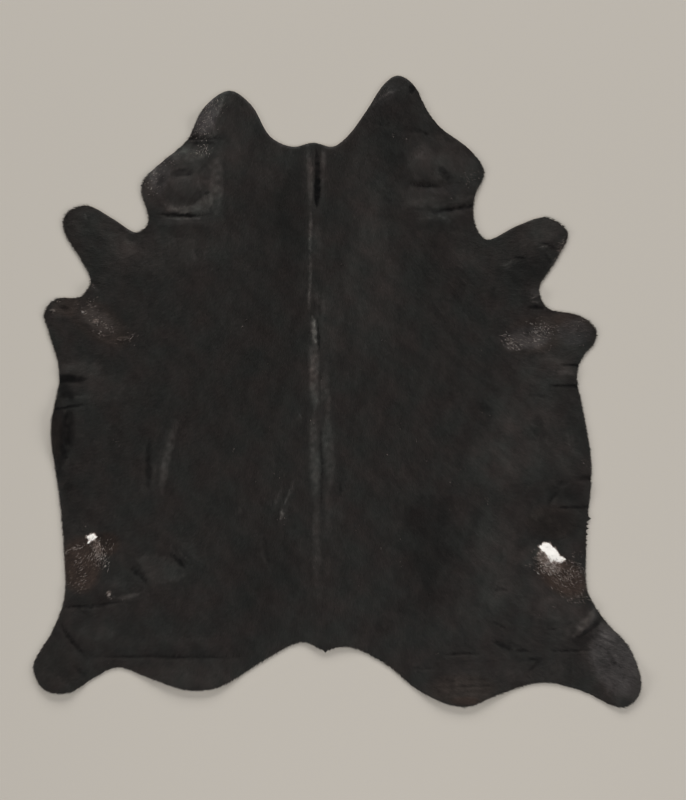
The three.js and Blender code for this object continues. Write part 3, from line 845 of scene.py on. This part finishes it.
def cut_back(loop):
    """The leather's own edge: the outline, drawn in where the hair grows over it."""
    outward = outward_sides(loop)
    turn = np.radians(hair_turns(loop))
    over = np.sin(turn) * outward[:, 0] - np.cos(turn) * outward[:, 1]
    drawn_in = sum(fringe.drawn_in * nearness(loop, fringe) for fringe in FRINGES)
    inset = CUT_BACK * np.clip(over, 0, 1) + drawn_in
    return loop - outward * inset[:, None]


def overhang_at(points):
    """How far the hair may reach past the cut edge near each point."""
    further = sum((fringe.overhang - EDGE_OVERHANG) * nearness(points, fringe) for fringe in FRINGES)
    return EDGE_OVERHANG + further


# Painted sheen and shade, mottle and white in the coat

def streaky(points, length, width):
    """Soft light and dark streaks along the hair, of about -1 to 1."""
    turns = hair_turns(points)
    total = np.zeros(len(points))
    for degrees in range(-LAST_WAY, LAST_WAY + 1, STREAK_WAY):
        turn = math.radians(degrees)
        along = points @ (math.sin(turn), -math.cos(turn)) / length
        across = points @ (math.cos(turn), math.sin(turn)) / width
        near = np.maximum(1 - np.abs(turns - degrees) / STREAK_WAY, 0)
        total += near * waves(np.stack((along, across), axis=1), 1, STREAK_SEED + degrees)
    return total


def coat_tone(points):
    """How many doublings lighter or darker than plain black the coat is painted at each point: painted
    sheen and shade from the streaks, zones and brushed patches, with a random mottle.
    """
    places = frayed(points, STREAK_FRAYS)
    tone = sum(streak.tone * stroke_share(places, streak, CRISP, STREAK_TAPER) for streak in SHEEN_AND_SHADE_STREAKS)
    tone *= 1 + BROKEN * waves(points, BROKEN_SIZE, BROKEN_SEED)
    ragged = frayed(points, PATCH_FRAYS)
    tone += sum(zone_share(ragged, zone) for zone in SHEEN_AND_SHADE_ZONES)
    for patch in BRUSHED_SHEEN_AND_SHADE:
        tone[inside(ragged, np.array(patch.outline, float))] += patch.tone
    for size, uneven in PATCHES:
        tone += uneven * np.tanh(PATCH_EDGE * waves(places, size, PATCH_SEED))
    return tone + NAP_UNEVEN * streaky(points, *NAP_STREAK)


def marked(points):
    """Whether each point is on a streak or near a white patch."""
    near = sum(stroke_share(points, streak) for streak in SHEEN_AND_SHADE_STREAKS) > 0
    for outline in WHITE.values():
        near |= np.hypot(*(points - np.mean(outline, axis=0)).T) < WHITE_REACH
    return near


def white_share(points, will):
    """How white the hair is: wholly in a patch, and by each lock's own will among pale locks."""
    white = np.minimum(mixed(points, PALE) * will, 1)
    for outline in WHITE.values():
        white[inside(points, np.array(outline, float))] = 1
    return white


# Materials

def linear_colour(code):
    """A hex colour as Blender's linear numbers."""
    parts = [int(code[start : start + 2], 16) / 255 for start in (1, 3, 5)]
    return [part / 12.92 if part <= 0.04045 else ((part + 0.055) / 1.055) ** 2.4 for part in parts] + [1]


def add_node(tree, kind, inputs=None, **settings):
    """Adds a node, sets its options, and fills its sockets with values or with other nodes' outputs."""
    node = tree.nodes.new(kind)
    for name, value in settings.items():
        setattr(node, name, value)
    for name, value in (inputs or {}).items():
        if isinstance(value, bpy.types.NodeSocket):
            tree.links.new(value, node.inputs[name])
        else:
            node.inputs[name].default_value = value
    return node


def new_material(name):
    """A material with no nodes yet, and its tree."""
    material = bpy.data.materials.new(name)
    material.use_nodes = True
    material.node_tree.nodes.clear()
    return material, material.node_tree


def hair_colour(tree):
    """Cool or warm black, then brown or grizzled, lighter or darker by its tone of painted sheen and
    shade, and white last.
    """
    place = add_node(tree, "ShaderNodeTexCoord").outputs["Object"]
    shares = {
        name: add_node(tree, "ShaderNodeAttribute", attribute_name=name).outputs["Fac"]
        for name in ("tone", "strand", "brown", "grey", "white")
    }
    patches = add_node(
        tree, "ShaderNodeTexNoise", {"Vector": place, "Scale": 1 / (WARM_PATCH * MM), "Detail": 3}
    )
    warmth = add_node(
        tree, "ShaderNodeMapRange", {"Value": patches.outputs["Fac"], "From Min": 0.35, "From Max": 0.65}
    )
    layers = (
        (warmth.outputs[0], BLACK_WARM),
        (shares["brown"], BROWN_HAIR),
        (shares["grey"], GREY_HAIR),
    )
    colour = linear_colour(BLACK_COOL)
    for share, code in layers:
        ends = {FACTOR: share, FIRST: colour, SECOND: linear_colour(code)}
        colour = add_node(tree, "ShaderNodeMix", ends, data_type="RGBA").outputs[RESULT]
    toned = add_node(tree, "ShaderNodeMath", {0: shares["tone"], 1: shares["strand"]}, operation="ADD")
    gained = add_node(tree, "ShaderNodeMath", {0: toned.outputs[0], 1: TONE_GAIN}, operation="MULTIPLY")
    light = add_node(tree, "ShaderNodeMath", {0: 2.0, 1: gained.outputs[0]}, operation="POWER")
    lit = add_node(tree, "ShaderNodeVectorMath", {0: colour, "Scale": light.outputs[0]}, operation="SCALE")
    ends = {FACTOR: shares["white"], FIRST: linear_colour(TAN_HAIR), SECOND: linear_colour(WHITE_HAIR)}
    pale = add_node(tree, "ShaderNodeMix", ends, data_type="RGBA")
    ends = {FACTOR: shares["white"], FIRST: lit.outputs[0], SECOND: pale.outputs[RESULT]}
    return add_node(tree, "ShaderNodeMix", ends, data_type="RGBA").outputs[RESULT]


def cow_hair():
    """Short black cow hair: a dull satin that turns brown, grizzled or white where the hair does, with
    painted sheen and shade in its colour.
    """
    material, tree = new_material("cow_hair")
    strands = add_node(tree, "ShaderNodeUVMap", uv_map="Strand").outputs["UV"]
    width, length = HAIR_STREAK
    hairs = add_node(tree, "ShaderNodeMapping", {"Vector": strands, "Scale": (1 / width, 1 / length, 1)})
    streaks = add_node(tree, "ShaderNodeTexNoise", {"Vector": hairs.outputs[0], "Scale": 1, "Detail": 2})
    height = streaks.outputs["Fac"]
    bump = add_node(
        tree, "ShaderNodeBump", {"Height": height, "Strength": 0.35, "Distance": HAIR_DEPTH * MM}
    )
    rough = add_node(tree, "ShaderNodeMapRange", {"Value": height, "To Min": 0.5, "To Max": 0.68})
    shader = add_node(
        tree,
        "ShaderNodeBsdfPrincipled",
        {
            "Base Color": hair_colour(tree),
            "Roughness": rough.outputs[0],
            "Normal": bump.outputs[0],
            "IOR": 1.55,
            "Specular IOR Level": 0.076,
            "Sheen Weight": 0.023,
            "Sheen Roughness": 0.4,
        },
    )
    add_node(tree, "ShaderNodeOutputMaterial", {"Surface": shader.outputs[0]})
    return material


def split_suede():
    """Chrome-tanned flesh side, buffed: a pale, dull, cloudy nap."""
    material, tree = new_material("split_suede")
    place = add_node(tree, "ShaderNodeTexCoord").outputs["Object"]
    clouds, nap = (
        add_node(tree, "ShaderNodeTexNoise", {"Vector": place, "Scale": 1 / (size * MM), "Detail": detail})
        for size, detail in ((SUEDE_CLOUD, 5), (SUEDE_NAP, 3))
    )
    shade = add_node(tree, "ShaderNodeValToRGB", {"Fac": clouds.outputs["Fac"]})
    dark, light = shade.color_ramp.elements
    dark.position, dark.color = 0.3, linear_colour(SUEDE_DARK)
    light.position, light.color = 0.7, linear_colour(SUEDE_LIGHT)
    height = nap.outputs["Fac"]
    bump = add_node(
        tree, "ShaderNodeBump", {"Height": height, "Strength": 0.5, "Distance": SUEDE_DEPTH * MM}
    )
    rough = add_node(tree, "ShaderNodeMapRange", {"Value": height, "To Min": 0.85, "To Max": 1.0})
    shader = add_node(
        tree,
        "ShaderNodeBsdfPrincipled",
        {
            "Base Color": shade.outputs["Color"],
            "Roughness": rough.outputs[0],
            "Normal": bump.outputs[0],
            "Specular IOR Level": 0.2,
            "Sheen Weight": 0.3,
        },
    )
    add_node(tree, "ShaderNodeOutputMaterial", {"Surface": shader.outputs[0]})
    return material


def floor_paint():
    """Matt paint: a plain pale ground."""
    material, tree = new_material("floor_paint")
    shader = add_node(
        tree,
        "ShaderNodeBsdfPrincipled",
        {"Base Color": linear_colour(FLOOR_PAINT), "Roughness": 0.9, "Specular IOR Level": 0.1},
    )
    add_node(tree, "ShaderNodeOutputMaterial", {"Surface": shader.outputs[0]})
    return material


# Pieces from arrays

def mesh_piece(name, vertices, triangles, materials):
    """A piece at the origin from arrays in millimetres."""
    mesh = bpy.data.meshes.new(name)
    mesh.vertices.add(len(vertices))
    mesh.vertices.foreach_set("co", np.ravel(vertices * MM))
    mesh.loops.add(triangles.size)
    mesh.loops.foreach_set("vertex_index", np.ravel(triangles))
    mesh.polygons.add(len(triangles))
    mesh.polygons.foreach_set("loop_start", np.arange(0, triangles.size, 3))
    mesh.polygons.foreach_set("use_smooth", np.ones(len(triangles), bool))
    mesh.update(calc_edges=True)
    for material in materials:
        mesh.materials.append(material)
    piece = bpy.data.objects.new(name, mesh)
    bpy.context.scene.collection.objects.link(piece)
    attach(piece, "root")
    return piece


def add_map(piece, name, places):
    """Gives a piece a map, by a place for each corner of its triangles."""
    piece.data.uv_layers.new(name=name).data.foreach_set("uv", np.ravel(places))


def flat_map(points):
    """Places on the hide as places on a unit square."""
    low = np.array(cad_box[0].xy) / MM - MAP_MARGIN
    high = np.array(cad_box[1].xy) / MM + MAP_MARGIN
    return (points - low) / (high - low)


def add_coat_shares(piece, points, strand, white):
    """Gives a piece what the hair's material reads at its points."""
    brown, grey = mixed(points, BROWN), mixed(points, GREY)
    shares = {
        # tone holds the painted sheen and shade, with the random mottle
        "tone": coat_tone(points),
        "strand": STRAND_TONE * strand * (1 + MIXED_STRAY * (brown + grey)),
        "brown": brown,
        "grey": grey,
        "white": white,
    }
    for name, values in shares.items():
        piece.data.attributes.new(name, "FLOAT", "POINT").data.foreach_set("value", values)


# The skin

def staggered_grid(loop, step):
    """Points a step apart on even triangles, in rows over the loop's box."""
    low, high = loop.min(axis=0), loop.max(axis=0)
    rows = np.arange(low[1], high[1], step * math.sqrt(0.75))
    columns = np.arange(low[0], high[0], step)
    x, y = np.meshgrid(columns, rows)
    x[1::2] += step / 2
    return np.stack((x.ravel(), y.ravel()), axis=1)


def creased(points):
    """Whether each point is in a crease."""
    return sum(stroke_share(points, fold) for fold in RELIEF if fold.rise < 0) > 0


def filled(loop, grid):
    """Points and triangles that fill a loop. The loop's own points come first."""
    grid = grid[inside(grid, loop)]
    grid = grid[nearest(grid, loop)[1] > EDGE_STEP]
    points = np.vstack((loop, grid))
    ring = [(index, (index + 1) % len(loop)) for index in range(len(loop))]
    corners, _, triangles, *_ = delaunay_2d_cdt([tuple(point) for point in points], ring, [], 1, WELD)
    return np.array(corners), np.array(triangles)


def skin_map(flat, triangles, hair_count, rim_count):
    """The skin's map for the bake: hair side, suede side and cut edge each in a place of their own."""
    places = flat_map(flat)[triangles] * (BACK_SHARE, 1 - 2 * RIM_SHARE)
    places[hair_count:, :, 0] += BACK_SHARE
    along = np.repeat(np.arange(rim_count), 2) / rim_count
    step = 1 / rim_count
    low, high = 1 - RIM_SHARE, 1
    first = np.array(((0, high), (0, low), (step, low)))
    second = np.array(((0, high), (step, low), (step, high)))
    rim = np.tile(np.stack((first, second)), (rim_count, 1, 1))
    rim[..., 0] += along[:, None]
    places[-2 * rim_count :] = rim
    return places


def hide_skin(loop, hair, suede):
    """The skin as one closed sheet: hair side, suede side and the cut edge between them."""
    plain, fine = staggered_grid(loop, SKIN_STEP), staggered_grid(loop, CREASE_STEP)
    top, hair_side = filled(loop, np.vstack((plain[~creased(plain)], fine[creased(fine)])))
    back, suede_side = filled(loop, staggered_grid(loop, BACK_STEP))
    high = np.column_stack((top, skin_height(top)))
    low = np.column_stack((back, FLOOR_GAP + lift(back)))
    under = len(top)
    here = np.arange(len(loop))
    ahead = np.roll(here, -1)
    rim = np.column_stack((here, here + under, ahead + under, here, ahead + under, ahead)).reshape(-1, 3)
    triangles = np.vstack((hair_side, suede_side[:, ::-1] + under, rim))
    piece = mesh_piece("hide_skin", np.vstack((high, low)), triangles, (hair, suede))
    flat = np.vstack((top, back))
    add_coat_shares(piece, flat, np.zeros(len(flat)), white_share(flat, PALE_WILL[0]))
    add_map(piece, "Strand", flat[triangles])
    add_map(piece, "OFBake", skin_map(flat, triangles, len(hair_side), len(loop)))
    slots = np.ones(len(triangles), np.int32)
    slots[: len(hair_side)] = 0
    piece.data.polygons.foreach_set("material_index", slots)
    return piece, top, hair_side


# The coat

def trimmed(lengths, roots, ways, loop, rng):
    """Lengths cut back where a lock would reach too far past the edge."""
    place, gap = nearest(roots, loop)
    outwards = np.sum(ways * outward_sides(loop)[place], axis=1)
    reach = overhang_at(roots) * rng.uniform(*OVERHANG_SPREAD, len(roots))
    most = (gap + reach) / np.maximum(outwards, LEAST_SLANT)
    return np.minimum(lengths, np.maximum(most, SHORTEST))


def scattered_roots(points, triangles, rng):
    """Roots spread evenly over the skin, one for each lock spacing squared."""
    a, b, c = (points[triangles[:, corner]] for corner in range(3))
    ab, ac = b - a, c - a
    area = np.cumsum(np.abs(ab[:, 0] * ac[:, 1] - ab[:, 1] * ac[:, 0]) / 2)
    count = int(area[-1] / LOCK_SPACING**2)
    picks = np.searchsorted(area, (np.arange(count) + rng.random(count)) * area[-1] / count)
    u, v = rng.random((2, count, 1))
    beyond = u + v > 1
    u, v = np.where(beyond, 1 - u, u), np.where(beyond, 1 - v, v)
    return a[picks] + u * ab[picks] + v * ac[picks]


def lock_normals(corners):
    """A lock is shaded as a soft round along its own lie, not as a hard wedge."""
    left, right, _, tip = corners.transpose(1, 0, 2)
    across = left - right
    along = tip - (left + right) / 2
    across /= np.linalg.norm(across, axis=1)[:, None]
    along /= np.linalg.norm(along, axis=1)[:, None]
    up = np.cross(along, across)
    sides = (up + LOCK_ROUND * across, up - LOCK_ROUND * across, up, up + LOCK_ROUND / 2 * along)
    return np.stack(sides, axis=1).reshape(-1, 3)


def lock_piece(name, locks, over, rng, hair):
    """Lying locks as one mesh. Each is a slim closed wedge: two root corners, a crest and a tip."""
    count = len(locks.roots)
    half = np.stack((-locks.ways[:, 1], locks.ways[:, 0]), axis=1) * locks.widths[:, None] / 2
    crests = locks.roots + locks.ways * (LOCK_CREST * locks.lengths)[:, None]
    tips = locks.roots + locks.ways * locks.lengths[:, None]
    plan = np.stack((locks.roots + half, locks.roots - half, crests, tips), axis=1).reshape(-1, 2)
    rise = np.array((-LOCK_ROOT, -LOCK_ROOT, LOCK_RISE + over, TIP_RISE + over))
    height = skin_height(plan).reshape(-1, 4) + rise * rng.uniform(*RISE_SPREAD, (count, 1))
    straight = (1 - LOCK_CREST) * height[:, :2].mean(axis=1) + LOCK_CREST * height[:, 3]
    height[:, 2] = np.maximum(height[:, 2], straight + LEAST_CREST)
    vertices = np.column_stack((plan, height.ravel()))
    triangles = (4 * np.arange(count)[:, None, None] + LOCK_FACES).reshape(-1, 3)
    piece = mesh_piece(name, vertices, triangles, (hair,))
    add_coat_shares(piece, plan, np.repeat(locks.strand, 4), np.repeat(locks.white, 4))
    across = np.outer(locks.widths, (1, 0, 0.5, 0.5))
    along = np.outer(locks.lengths, (0, 0, LOCK_CREST, 1))
    strand_map = np.stack((across, along), axis=2) + rng.uniform(0, STRAND_SHIFT, (count, 1, 2))
    add_map(piece, "Strand", strand_map.reshape(-1, 2)[triangles])
    add_map(piece, "OFBake", flat_map(plan)[triangles])
    piece.data.normals_split_custom_set_from_vertices(lock_normals(vertices.reshape(-1, 4, 3)))
    return piece


def coat(loop, top, hair_side, hair):
    """The lying coat, a piece for each quarter of the hide."""
    rng = np.random.default_rng(COAT_SEED)
    roots = scattered_roots(top, hair_side, rng)
    count = len(roots)
    ways = ways_of(roots, TURN_STRAY, rng)
    lengths = trimmed(LOCK_LENGTH * rng.uniform(*SPREAD, count), roots, ways, loop, rng)
    lengths = np.where(marked(roots), np.minimum(lengths, MARKED_LENGTH), lengths)
    widths = LOCK_WIDTH * rng.uniform(*SPREAD, count)
    will = np.interp(rng.random(count) ** FLECK_FADE, (0, 1), PALE_WILL)
    white = white_share(roots + ways * lengths[:, None] / 2, will)
    locks = Locks(roots, ways, lengths, widths, rng.uniform(-1, 1, count), white)
    left, front = roots[:, 0] < SPINE_X, roots[:, 1] > WAIST_Y
    quarters = {
        "coat_left_front": left & front,
        "coat_right_front": ~left & front,
        "coat_left_rear": left & ~front,
        "coat_right_rear": ~left & ~front,
    }
    return [
        lock_piece(name, Locks(*(column[here] for column in locks)), 0, rng, hair)
        for name, here in quarters.items()
    ]


# The edge's hair

def hanging_hair(loop, rng):
    """Roots, ways and lengths of the hair that is rooted along the cut edge and hangs past it."""
    roots = evenly_spaced(loop, FRINGE_STEP)
    outward = outward_sides(roots)
    ways = ways_of(roots, TURN_STRAY, rng)
    grows = np.sum(ways * outward, axis=1) > INWARD_MOST
    roots, outward, ways = roots[grows], outward[grows], ways[grows]
    count = len(roots)
    ways = ways + FRINGE_SPLAY * outward
    ways /= np.hypot(*ways.T)[:, None]
    swell = np.interp(waves(roots, SWELL, SWELL_SEED), (-1, 1), SWELL_REACH)
    reach = overhang_at(roots) * swell * rng.uniform(*OVERHANG_SPREAD, count)
    inset = rng.uniform(*FRINGE_INSET, count)
    lengths = (inset + reach) / np.maximum(np.sum(ways * outward, axis=1), FRINGE_SLANT)
    lengths = np.minimum(lengths, LOCK_LENGTH)
    return roots - outward * inset[:, None], ways, lengths


def tuft_hair(loop, rng):
    """The same of the named tufts, whose hairs run together to a point."""
    counts = [round(TUFT_HAIRS * tuft.width) for tuft in TUFTS]
    x, y, width, reach = np.repeat([tuft[1:] for tuft in TUFTS], counts, axis=0).T
    place, _ = nearest(np.stack((x, y), axis=1), loop)
    outward = outward_sides(loop)[place]
    along = np.stack((-outward[:, 1], outward[:, 0]), axis=1)
    count = len(place)
    side = rng.uniform(-0.5, 0.5, count) * width
    inset = rng.uniform(*FRINGE_INSET, count)
    roots = loop[place] + along * side[:, None] - outward * inset[:, None]
    run = loop[place] + outward * (reach * rng.uniform(*TUFT_ENDS, count))[:, None] - roots
    lengths = np.hypot(*run.T)
    return roots, run / lengths[:, None], lengths


def edge_fringe(loop, hair):
    """The hair that hangs past the cut edge."""
    rng = np.random.default_rng(FRINGE_SEED)
    both = zip(hanging_hair(loop, rng), tuft_hair(loop, rng))
    roots, ways, lengths = (np.concatenate(parts) for parts in both)
    count = len(roots)
    widths = rng.uniform(*FRINGE_WIDTH, count)
    locks = Locks(roots, ways, lengths, widths, rng.uniform(-1, 1, count), np.zeros(count))
    return lock_piece("edge_fringe", locks, 0, rng, hair)


# Pale hairs

def fleck_places(flecks, rng):
    """Places in a soft ellipse, in small clumps."""
    size = np.array((flecks.across, flecks.along))
    clumps = rng.normal(0, CLUMP_CORE, (max(flecks.count // CLUMP, 1), 2)) * size
    picks = clumps[rng.integers(len(clumps), size=flecks.count)]
    u, v = (picks + rng.normal(0, 1, picks.shape) * np.minimum(CLUMP_SPREAD, size / 2)).T
    turn = math.radians(flecks.turn)
    x = flecks.x + u * math.cos(turn) - v * math.sin(turn)
    y = flecks.y + u * math.sin(turn) + v * math.cos(turn)
    return np.stack((x, y), axis=1)


def pale_hairs(loop, hair):
    """Single pale hairs that lie over the coat, few of them bright."""
    rng = np.random.default_rng(FLECK_SEED)
    roots = np.vstack([fleck_places(flecks, rng) for flecks in FLECKS])
    pale = np.concatenate([flecks.pale * rng.random(flecks.count) ** FLECK_FADE for flecks in FLECKS])
    kept = inside(roots, loop)
    roots, pale = roots[kept], pale[kept]
    count = len(roots)
    ways = ways_of(roots, FLECK_STRAY, rng)
    lengths = np.concatenate([np.full(flecks.count, flecks.length) for flecks in FLECKS])[kept]
    lengths = trimmed(lengths * rng.uniform(*SPREAD, count), roots, ways, loop, rng)
    locks = Locks(roots, ways, lengths, rng.uniform(*FLECK_WIDTH, count), rng.uniform(-1, 1, count), pale)
    return lock_piece("pale_hairs", locks, FLECK_RISE, rng, hair)


# The stage

def lay_floor():
    """A plain pale floor under the hide."""
    bpy.ops.object.select_all(action="DESELECT")
    bpy.ops.mesh.primitive_plane_add(size=FLOOR_SIZE)
    floor = bpy.context.object
    floor.name = "floor"
    floor.data.materials.append(floor_paint())


def hang_lamps():
    """Soft low light from three sides, a little from above, and a faint even one all round."""
    for name, place, (width, height), power in LAMPS:
        lamp = bpy.data.lights.new(name, "AREA")
        lamp.shape, lamp.energy = "RECTANGLE", power
        lamp.size, lamp.size_y = width, height
        holder = bpy.data.objects.new(name, lamp)
        holder.location = place
        holder.rotation_euler = holder.location.to_track_quat("Z", "Y").to_euler()
        bpy.context.scene.collection.objects.link(holder)
    world = bpy.data.worlds.new("studio")
    world.use_nodes = True
    background = world.node_tree.nodes["Background"].inputs
    background["Color"].default_value = linear_colour(WORLD_COLOUR)
    background["Strength"].default_value = WORLD_LIGHT
    bpy.context.scene.world = world


def set_camera():
    """A camera that looks straight down on the hide, as the photograph does."""
    lens = bpy.data.cameras.new("camera")
    lens.lens = lens.sensor_width * CAMERA_HEIGHT / VIEW_LENGTH
    camera = bpy.data.objects.new("camera", lens)
    camera.location = (VIEW_X, VIEW_Y, CAMERA_HEIGHT + LEATHER * MM)
    bpy.context.scene.collection.objects.link(camera)
    bpy.context.scene.camera = camera
    bpy.context.scene.view_settings.view_transform = "Standard"


# The rug on its floor

hair, suede = cow_hair(), split_suede()
edge = cut_back(evenly_spaced(cut_edge(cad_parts["hide"]), EDGE_STEP))
skin, skin_points, skin_faces = hide_skin(edge, hair, suede)
hairs = [*coat(edge, skin_points, skin_faces, hair), edge_fringe(edge, hair), pale_hairs(edge, hair)]
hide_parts("hide")
lay_floor()
hang_lamps()
set_camera()
